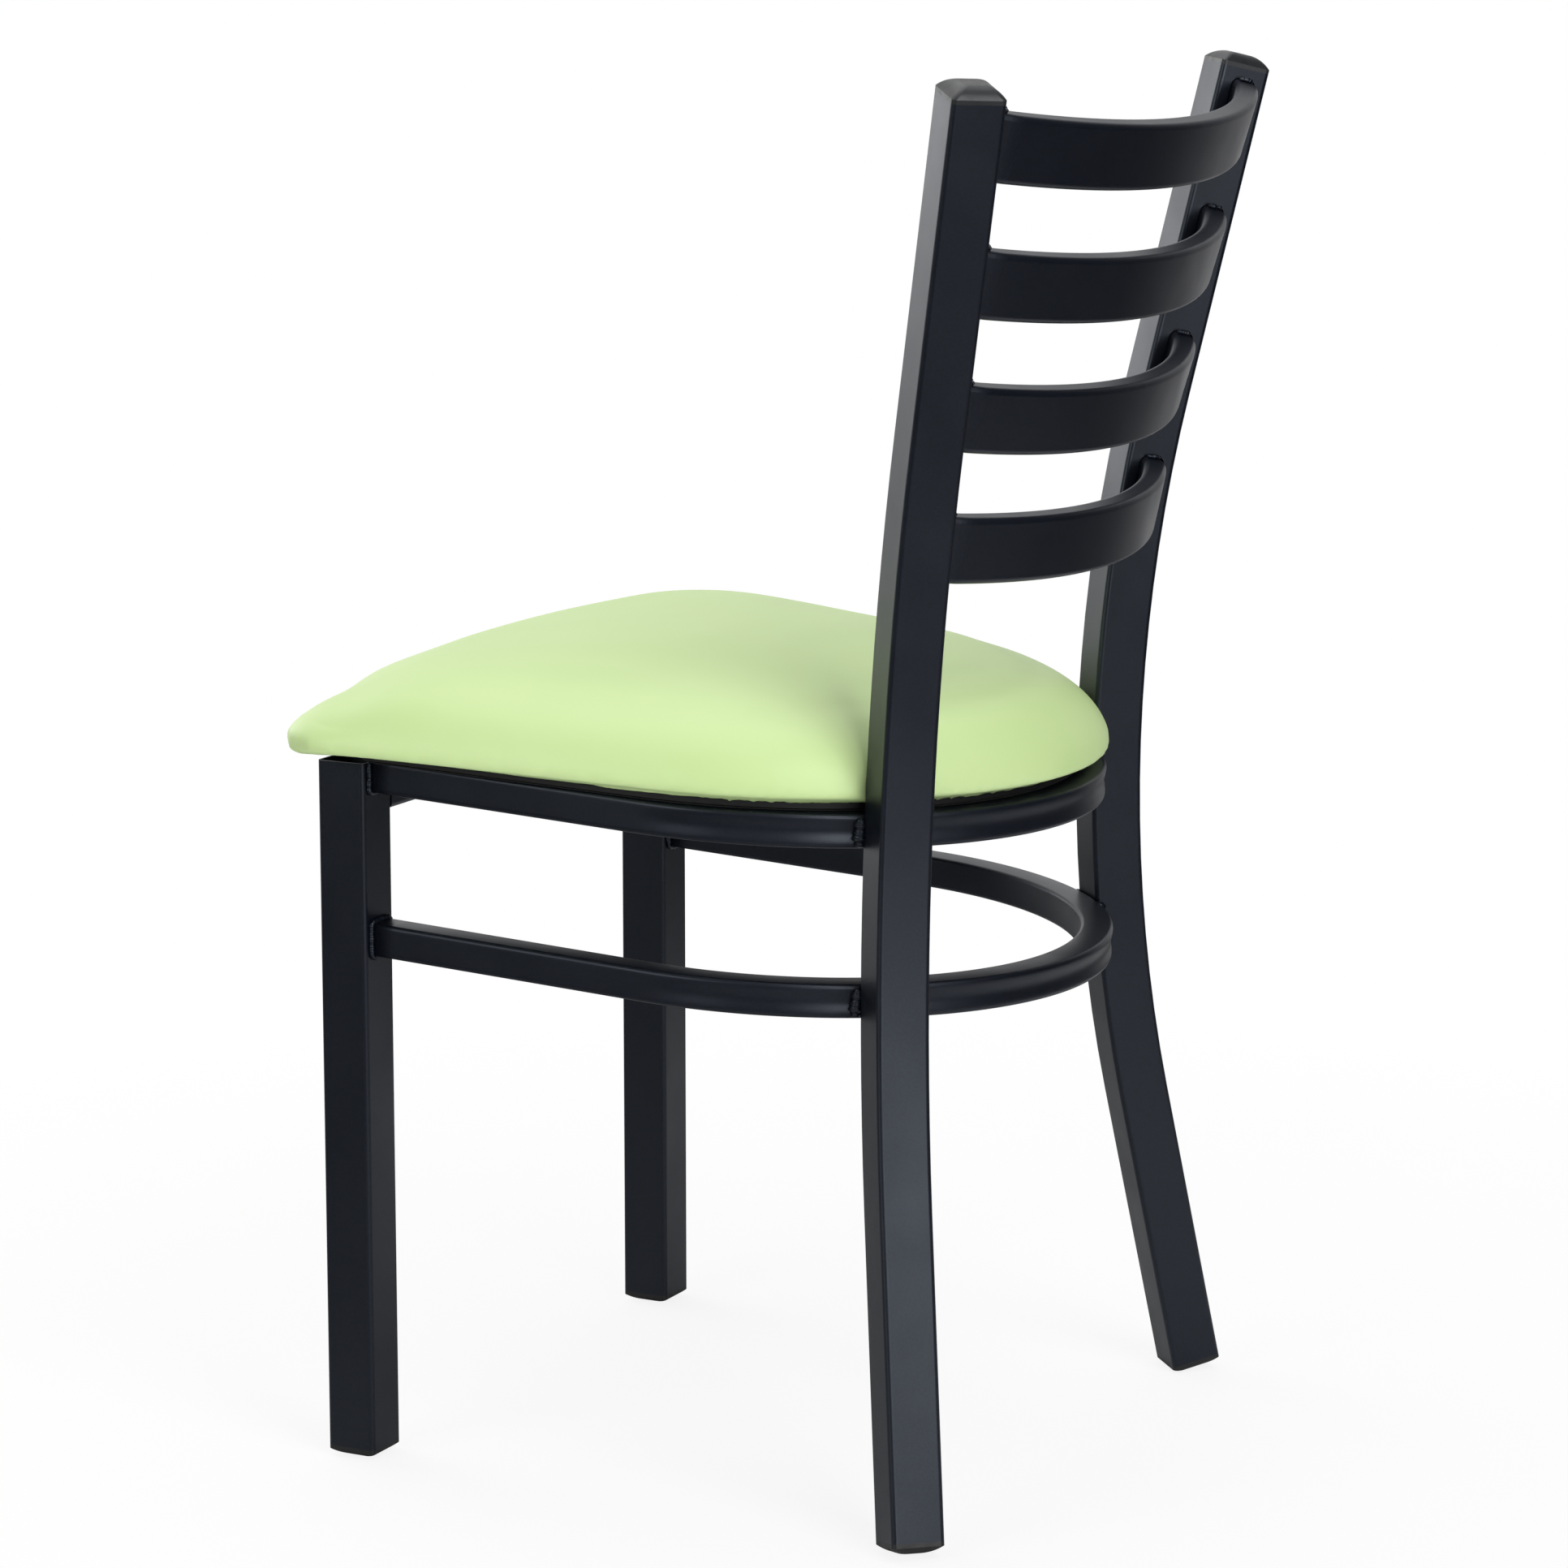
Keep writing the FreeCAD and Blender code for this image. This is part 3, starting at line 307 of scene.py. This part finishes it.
weld_group("UpperRingWeldBeads", "seat_ring_welds", 3.8, (418.22, False))
weld_group("StretcherWeldBeads", "stretcher_welds", 3.4, (319.91, True))
weld_group("SlatWeldBeads", "slat_welds", 1.5)


# Post caps and foot glides: moulded black polyethylene, pushed into the tube ends by a plug.
# Moulding in a sparked tool leaves it matt, a little greyer than the coat, and faintly waxy.

def moulded_plastic(name, colour, roughness):
    material, plastic = new_material(name)
    tree = material.node_tree
    plastic.inputs["Base Color"].default_value = hex_colour(colour)
    place = add_node(tree, "ShaderNodeTexCoord")
    wear = add_node(tree, "ShaderNodeTexNoise", [("Vector", place, "Object")],
                    Scale=1 / 0.008, Detail=4.0)
    gloss = add_node(tree, "ShaderNodeMapRange", [("Value", wear, "Fac")],
                     From_Min=0.3, From_Max=0.7, To_Min=roughness - 0.05, To_Max=roughness + 0.07)
    spark = add_node(tree, "ShaderNodeTexNoise", [("Vector", place, "Object")],
                     Scale=1000 / 0.7, Detail=1.0)
    bump = add_node(tree, "ShaderNodeBump", [("Height", spark, "Fac")],
                    Strength=0.4, Distance=0.03 / 1000)
    tree.links.new(gloss.outputs["Result"], plastic.inputs["Roughness"])
    tree.links.new(bump.outputs["Normal"], plastic.inputs["Normal"])
    return material


finish_with(moulded_plastic("MouldedPolyethyleneCap", "#1A1C1F", 0.42),
            "post_cap_left", "post_cap_right")
finish_with(moulded_plastic("MouldedPolyethyleneGlide", "#121316", 0.46),
            "foot_glide_front_left", "foot_glide_front_right",
            "foot_glide_rear_left", "foot_glide_rear_right")


# Seat board: birch plywood, cut to the seat's outline, its grain from side to side.
# The top is left raw under the foam. The edge and the underside are coloured near black as
# painted shade, standing for the shadowed gap that shows as a dark line under the pad.

def birch_plywood():
    material, wood = new_material("RawBirchPlywood")
    tree = material.node_tree
    wood.inputs["Roughness"].default_value = 0.62
    place = add_node(tree, "ShaderNodeTexCoord")
    stretch = add_node(tree, "ShaderNodeMapping", [("Vector", place, "Object")],
                       Scale=(0.12, 1.0, 1.0))
    grain = add_node(tree, "ShaderNodeTexNoise", [("Vector", stretch, "Vector")],
                     Scale=1 / 0.004, Detail=5.0)
    tone = add_node(tree, "ShaderNodeValToRGB", [("Fac", grain, "Fac")])
    tone.color_ramp.elements[0].position = 0.35
    tone.color_ramp.elements[0].color = hex_colour("#C79F6B")
    tone.color_ramp.elements[1].position = 0.7
    tone.color_ramp.elements[1].color = hex_colour("#E2C293")
    bump = add_node(tree, "ShaderNodeBump", [("Height", grain, "Fac")],
                    Strength=0.3, Distance=0.1 / 1000)
    facing = add_node(tree, "ShaderNodeNewGeometry")
    upward = add_node(tree, "ShaderNodeVectorMath", [(0, facing, "Normal")],
                      operation="DOT_PRODUCT")
    upward.inputs[1].default_value = (0.0, math.sin(SEAT_SLOPE), math.cos(SEAT_SLOPE))
    top = add_node(tree, "ShaderNodeMath", [(0, upward, "Value")], operation="GREATER_THAN")
    top.inputs[1].default_value = 0.5
    # Faces that do not face up take near black #0C0C0E: painted shade for the gap under the pad.
    wood_and_painted_shade = add_node(tree, "ShaderNodeMix", [(0, top, "Value"), (7, tone, "Color")],
                      data_type="RGBA")
    wood_and_painted_shade.inputs[6].default_value = hex_colour("#0C0C0E")
    tree.links.new(wood_and_painted_shade.outputs[2], wood.inputs["Base Color"])
    tree.links.new(bump.outputs["Normal"], wood.inputs["Normal"])
    return material


finish_with(birch_plywood(), "seat_board")


# Seat cushion: foam under a cover of lime green vinyl, pulled down and stapled under the board.
# Calendered vinyl on a knit back: satin, with a fine leather grain, and small gathers along the
# lower edge, deepest at the front corners, where the cover is drawn in.

def calendered_vinyl():
    material, vinyl = new_material("CalenderedVinylLime")
    tree = material.node_tree
    place = add_node(tree, "ShaderNodeTexCoord")
    cloud = add_node(tree, "ShaderNodeTexNoise", [("Vector", place, "Object")],
                     Scale=1 / 0.11, Detail=2.0)
    tone = add_node(tree, "ShaderNodeValToRGB", [("Fac", cloud, "Fac")])
    tone.color_ramp.elements[0].position = 0.3
    tone.color_ramp.elements[0].color = hex_colour("#C5DF9A")
    tone.color_ramp.elements[1].position = 0.7
    tone.color_ramp.elements[1].color = hex_colour("#CBE3A2")
    gloss = add_node(tree, "ShaderNodeMapRange", [("Value", cloud, "Fac")],
                     From_Min=0.3, From_Max=0.7, To_Min=0.46, To_Max=0.53)
    # Leather grain: cells of about 0.9 mm, 0.04 mm deep.
    cells = add_node(tree, "ShaderNodeTexVoronoi", [("Vector", place, "Object")],
                     feature="SMOOTH_F1", Scale=1000 / 0.9)
    fine = add_node(tree, "ShaderNodeTexNoise", [("Vector", place, "Object")],
                    Scale=1000 / 0.5, Detail=2.0)
    both = add_node(tree, "ShaderNodeMath",
                    [(0, cells, "Distance"), (1, fine, "Fac")], operation="ADD")
    bump = add_node(tree, "ShaderNodeBump", [("Height", both, "Value")],
                    Strength=0.3, Distance=0.04 / 1000)
    tree.links.new(tone.outputs["Color"], vinyl.inputs["Base Color"])
    tree.links.new(gloss.outputs["Result"], vinyl.inputs["Roughness"])
    tree.links.new(bump.outputs["Normal"], vinyl.inputs["Normal"])
    return material


lime_vinyl = calendered_vinyl()
# Heights over the seat's own plane, and the front corner's place, all in millimetres.
WIDEST_LINE, UNDERSIDE = 440.3, 429.7
FRONT_CORNER = (224.0, -240.0)


def modify(piece, name, kind, **settings):
    modifier = piece.modifiers.new(name, kind)
    for key, value in settings.items():
        setattr(modifier, key, value)
    return modifier


def apply_all(piece):
    bpy.context.view_layer.objects.active = piece
    for modifier in list(piece.modifiers):
        bpy.ops.object.modifier_apply(modifier=modifier.name)


def read_points(mesh, name):
    flat = np.empty(len(mesh.vertices) * 3)
    mesh.vertices.foreach_get(name, flat)
    return flat.reshape(-1, 3)


def put_points(mesh, points):
    mesh.vertices.foreach_set("co", np.ascontiguousarray(points).ravel())
    mesh.update()


def seat_heights(points):
    """Height of each point over the tipped seat's own plane, millimetres."""
    back = points[:, 1] / MM + FRONT_FACES
    return back * math.sin(SEAT_SLOPE) + points[:, 2] / MM * math.cos(SEAT_SLOPE)


def weigh(piece, name, weights):
    group = piece.vertex_groups.new(name=name)
    for index, weight in enumerate(np.clip(weights, 0, 1)):
        group.add([index], float(weight), "REPLACE")
    return name


def even_out(mesh, values, rounds):
    """Average a value per point with its neighbours' along the mesh's edges."""
    ends = np.empty(len(mesh.edges) * 2, dtype=int)
    mesh.edges.foreach_get("vertices", ends)
    a, b = ends.reshape(-1, 2).T
    count = len(values)
    share = np.bincount(a, minlength=count) + np.bincount(b, minlength=count)
    for turn in range(rounds):
        around = np.bincount(a, values[b], count) + np.bincount(b, values[a], count)
        values = 0.5 * values + 0.5 * around / share
    return values


def swell(piece):
    """Draw the free cover in a little and let pressure under it fill it out again."""
    mesh = piece.data
    start = read_points(mesh, "co")
    height = seat_heights(start)
    free = np.clip((height - WIDEST_LINE) / 14, 0, 1)
    put_points(mesh, start - read_points(mesh, "normal") * (free * 1.5 * MM)[:, None])
    held = weigh(piece, "Held", (WIDEST_LINE - height) / 3)
    cloth = modify(piece, "Swell", "CLOTH").settings
    cloth.quality = 5
    cloth.use_pressure = True
    cloth.uniform_pressure_force = 4
    cloth.vertex_group_mass = held
    cloth.effector_weights.gravity = 0
    for moment in range(1, 21):
        bpy.context.scene.frame_set(moment)
    apply_all(piece)
    bpy.context.scene.frame_set(1)
    moved = read_points(mesh, "co") - start
    put_points(mesh, start)
    normals = read_points(mesh, "normal")
    rise = np.clip(even_out(mesh, np.sum(moved * normals, axis=1), 60), 0, 2.2 * MM)
    put_points(mesh, start + normals * (rise * free)[:, None])


def draw_in(piece):
    """The cover's lower edge: full, low corners in front, short upright folds, turned under."""
    mesh = piece.data
    points, normals = read_points(mesh, "co"), read_points(mesh, "normal")
    height = seat_heights(points)
    low = np.clip(1 - np.abs(height - WIDEST_LINE - 1) / 11, 0, 1) ** 1.5
    reach = np.hypot(np.abs(points[:, 0]) / MM - FRONT_CORNER[0],
                     points[:, 1] / MM - FRONT_CORNER[1])
    corner = np.exp(-(reach / 34) ** 2)
    for index in np.nonzero(low > 0)[0]:
        around = math.atan2(points[index, 1] + 0.05, points[index, 0])
        fold = noise.noise(Vector((around * 34, 0.7, height[index] * 0.02)))
        fold += 0.5 * noise.noise(Vector((around * 80, 4.2, height[index] * 0.03)))
        depth = (0.2 + 0.7 * corner[index]) * MM
        points[index] += normals[index] * (depth * low[index] * fold)
    # The corner's tip is stuffed full, hangs low and has a hollow shoulder behind it.
    tip = 2.9 * np.exp(-(reach / 32) ** 2 - ((height - 448) / 13) ** 2)
    points[:, 0] += np.sign(points[:, 0]) * tip * MM
    points[:, 1] -= tip * MM
    hang = 6.0 * corner * np.clip((443 - height) / 5, 0, 1)
    hollow = 4.0 * np.exp(-((reach - 50) / 25) ** 2) * np.clip((height - 446) / 12, 0, 1)
    # Elsewhere the lip is tucked up under the pad; nothing sinks below the underside.
    tuck = 2.8 * (1 - corner) * np.clip((439.5 - height) / 6, 0, 1)
    lowest = np.minimum(height, UNDERSIDE)
    rise = np.maximum(lowest, height - hang - hollow) + tuck - height
    seat_up = np.array([0, math.sin(SEAT_SLOPE), math.cos(SEAT_SLOPE)])
    put_points(mesh, points + rise[:, None] * MM * seat_up)


def cover_with_vinyl(piece, node):
    piece.data.materials.clear()
    piece.data.materials.append(lime_vinyl)
    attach(piece, "root")
    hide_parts(node)


def stuffed_cushion():
    piece = bpy.data.objects.new("CushionCover", nodes["seat_cushion"].data.copy())
    bpy.context.scene.collection.objects.link(piece)
    modify(piece, "Remesh", "REMESH", mode="VOXEL", voxel_size=0.0045)
    modify(piece, "Ease", "SMOOTH", factor=0.5, iterations=2)
    modify(piece, "Fit", "SHRINKWRAP", target=nodes["seat_cushion"])
    apply_all(piece)
    swell(piece)
    height = seat_heights(read_points(piece.data, "co"))
    crown = weigh(piece, "Crown", (height - 448) / 10)
    lip = weigh(piece, "Lip", (437 - height) / 3)
    modify(piece, "Soften", "SMOOTH", factor=0.5, iterations=16, vertex_group=crown)
    modify(piece, "Fine", "SUBSURF", levels=1, render_levels=1)
    modify(piece, "Fit", "SHRINKWRAP", target=nodes["seat_cushion"], vertex_group=lip)
    apply_all(piece)
    draw_in(piece)
    piece.data.polygons.foreach_set("use_smooth", [True] * len(piece.data.polygons))
    cover_with_vinyl(piece, "seat_cushion")


stuffed_cushion()


# Cover margin: the rest of the same vinyl, turned under the board and stapled flat.
# Trimmed by hand, it ends a little inside the board's edge.

def turned_margin():
    piece = bpy.data.objects.new("CoverMarginTurnedUnder", nodes["cover_margin"].data.copy())
    bpy.context.scene.collection.objects.link(piece)
    points = read_points(piece.data, "co")
    middle, share = np.array([0.0, -0.025]), 0.025
    drawn = share * (middle - points[:, :2])
    points[:, :2] += drawn
    points[:, 2] -= drawn[:, 1] * math.tan(SEAT_SLOPE)
    put_points(piece.data, points)
    cover_with_vinyl(piece, "cover_margin")


turned_margin()


# Dust cover: black spun-bonded cloth over the underside of the board, held by the staples.
# Pressed fibres give it a matt, slightly mottled face.

def spun_bonded_cloth():
    material, cloth = new_material("SpunBondedDustCloth")
    tree = material.node_tree
    cloth.inputs["Roughness"].default_value = 0.9
    place = add_node(tree, "ShaderNodeTexCoord")
    # Bond points of a 1.6 mm grid, pressed 0.08 mm deep.
    dots = add_node(tree, "ShaderNodeTexVoronoi", [("Vector", place, "Object")],
                    Scale=1000 / 1.6, Randomness=0.25)
    tone = add_node(tree, "ShaderNodeValToRGB", [("Fac", dots, "Distance")])
    tone.color_ramp.elements[0].color = hex_colour("#101012")
    tone.color_ramp.elements[1].color = hex_colour("#222325")
    bump = add_node(tree, "ShaderNodeBump", [("Height", dots, "Distance")],
                    Strength=0.5, Distance=0.08 / 1000)
    tree.links.new(tone.outputs["Color"], cloth.inputs["Base Color"])
    tree.links.new(bump.outputs["Normal"], cloth.inputs["Normal"])
    return material


finish_with(spun_bonded_cloth(), "dust_cover")


# Seat screws and cover staples: steel, bright zinc plated, a cool silver tone with a fine haze.
# The screws are driven up through the tabs; the staples go through dust cover and margin.

def zinc_plate():
    material, zinc = new_material("BrightZincPlatedSteel")
    tree = material.node_tree
    zinc.inputs["Base Color"].default_value = hex_colour("#C3C6C9")
    zinc.inputs["Metallic"].default_value = 1.0
    place = add_node(tree, "ShaderNodeTexCoord")
    haze = add_node(tree, "ShaderNodeTexNoise", [("Vector", place, "Object")],
                    Scale=1 / 0.002, Detail=3.0)
    gloss = add_node(tree, "ShaderNodeMapRange", [("Value", haze, "Fac")],
                     From_Min=0.3, From_Max=0.7, To_Min=0.24, To_Max=0.42)
    tree.links.new(gloss.outputs["Result"], zinc.inputs["Roughness"])
    return material


finish_with(zinc_plate(), "seat_screws", "cover_staples")


# The photograph's view: the chair on white studio paper, before a white backdrop, in soft light
# from above, from both sides and from the front. The paper keeps a faint shadow near the feet.

def stage_floor():
    mesh = bpy.data.meshes.new("StudioPaper")
    net = bmesh.new()
    bmesh.ops.create_grid(net, x_segments=2, y_segments=2, size=1.5)
    net.to_mesh(mesh)
    net.free()
    floor = bpy.data.objects.new("StudioPaper", mesh)
    bpy.context.scene.collection.objects.link(floor)
    material, paper = new_material("WhiteStudioPaper")
    tree = material.node_tree
    paper.inputs["Roughness"].default_value = 0.9
    paper.inputs["Specular IOR Level"].default_value = 0.1
    place = add_node(tree, "ShaderNodeTexCoord")
    away = add_node(tree, "ShaderNodeVectorMath", [(0, place, "Object")], operation="LENGTH")
    shade = add_node(tree, "ShaderNodeMapRange", [("Value", away, "Value")],
                     From_Min=0.25, From_Max=1.1, To_Min=0.86, To_Max=1.0)
    path = add_node(tree, "ShaderNodeLightPath")
    # The coat mirrors paper that is bright near and behind the chair, and dim in front and far
    # off; the camera and the pad see it white.
    behind = add_node(tree, "ShaderNodeVectorMath", [(0, place, "Object")],
                      operation="DOT_PRODUCT")
    behind.inputs[1].default_value = (-0.6, 0.8, 0.0)
    mirrored = add_node(tree, "ShaderNodeMapRange", [("Value", behind, "Value")],
                        From_Min=-1.0, From_Max=0.7, To_Min=0.10, To_Max=1.0)
    near = add_node(tree, "ShaderNodeMapRange", [("Value", away, "Value")],
                    interpolation_type="SMOOTHSTEP",
                    From_Min=0.75, From_Max=1.35, To_Min=1.0, To_Max=0.04)
    dimmed = add_node(tree, "ShaderNodeMath",
                      [(0, mirrored, "Result"), (1, near, "Result")], operation="MULTIPLY")
    plain = add_node(tree, "ShaderNodeMath", [(1, path, "Is Glossy Ray")], operation="SUBTRACT")
    plain.inputs[0].default_value = 1.0
    bright = add_node(tree, "ShaderNodeMath",
                      [(0, plain, "Value"), (1, dimmed, "Value")], operation="MAXIMUM")
    tone = add_node(tree, "ShaderNodeValToRGB", [("Fac", bright, "Value")])
    tone.color_ramp.elements[0].color = hex_colour("#101010")
    tone.color_ramp.elements[1].color = hex_colour("#F2F2F2")
    tree.links.new(tone.outputs["Color"], paper.inputs["Base Color"])
    share = add_node(tree, "ShaderNodeMath",
                     [(0, path, "Is Camera Ray"), (1, shade, "Result")], operation="MULTIPLY")
    glow = add_node(tree, "ShaderNodeEmission", Strength=1.0)
    mix = add_node(tree, "ShaderNodeMixShader",
                   [("Fac", share, "Value"), (1, paper, "BSDF"), (2, glow, "Emission")])
    out = tree.nodes["Material Output"]
    tree.links.new(mix.outputs["Shader"], out.inputs["Surface"])
    mesh.materials.append(material)


def studio_world():
    """White to the camera; round the chair, a dim room with a pale screen at its right front."""
    world = bpy.data.worlds.new("Studio")
    bpy.context.scene.world = world
    world.use_nodes = True
    tree = world.node_tree
    back = tree.nodes["Background"]
    back.inputs["Color"].default_value = (1.0, 1.0, 1.0, 1.0)
    place = add_node(tree, "ShaderNodeTexCoord")
    toward = add_node(tree, "ShaderNodeVectorMath", [(0, place, "Generated")],
                      operation="DOT_PRODUCT")
    toward.inputs[1].default_value = (-0.66, -0.74, 0.10)
    level = add_node(tree, "ShaderNodeMapRange", [("Value", toward, "Value")],
                     interpolation_type="SMOOTHSTEP",
                     From_Min=0.2, From_Max=0.95, To_Min=0.05, To_Max=0.95)
    path = add_node(tree, "ShaderNodeLightPath")
    seen = add_node(tree, "ShaderNodeMath",
                    [(0, path, "Is Camera Ray"), (1, path, "Is Transmission Ray")],
                    operation="MAXIMUM")
    strength = add_node(tree, "ShaderNodeMath",
                        [(0, seen, "Value"), (1, level, "Result")], operation="MAXIMUM")
    tree.links.new(strength.outputs["Value"], back.inputs["Strength"])


def soft_box(name, place, aim, width, height, watts):
    lamp = bpy.data.lights.new(name, "AREA")
    lamp.shape = "RECTANGLE"
    lamp.size = width
    lamp.size_y = height
    lamp.energy = watts
    box = bpy.data.objects.new(name, lamp)
    box.location = place
    box.rotation_euler = (Vector(aim) - Vector(place)).to_track_quat("-Z", "Y").to_euler()
    bpy.context.scene.collection.objects.link(box)


stage_floor()
studio_world()
soft_box("RightRearSoftBox", (0.85, 1.45, 2.10), (0.0, 0.0, 0.40), 1.0, 1.0, 23)
soft_box("OverheadSoftBox", (-0.3, -0.4, 2.6), (0.0, 0.0, 0.40), 2.0, 2.0, 23)
soft_box("CameraRightSoftBox", (1.7, 2.3, 0.9), (0.0, 0.0, 0.45), 1.4, 1.0, 32)
soft_box("CameraLeftSoftBox", (2.5, -0.9, 1.2), (0.0, 0.0, 0.45), 1.4, 1.4, 21)
soft_box("FrontSoftBox", (-0.6, -2.4, 1.3), (0.0, 0.0, 0.45), 1.4, 1.4, 18)

camera = bpy.data.cameras.new("PhotographCamera")
camera.lens = 118.45
camera.sensor_width = 36.0
camera.sensor_fit = "HORIZONTAL"
camera.clip_end = 50.0
view = bpy.data.objects.new("PhotographCamera", camera)
view.location = (2.7328, 1.37795, 0.9727)
target = Vector((0.021957, -0.004937, 0.400419))
view.rotation_euler = (target - view.location).to_track_quat("-Z", "Y").to_euler()
bpy.context.scene.collection.objects.link(view)
bpy.context.scene.camera = view
bpy.context.scene.view_settings.view_transform = "Standard"
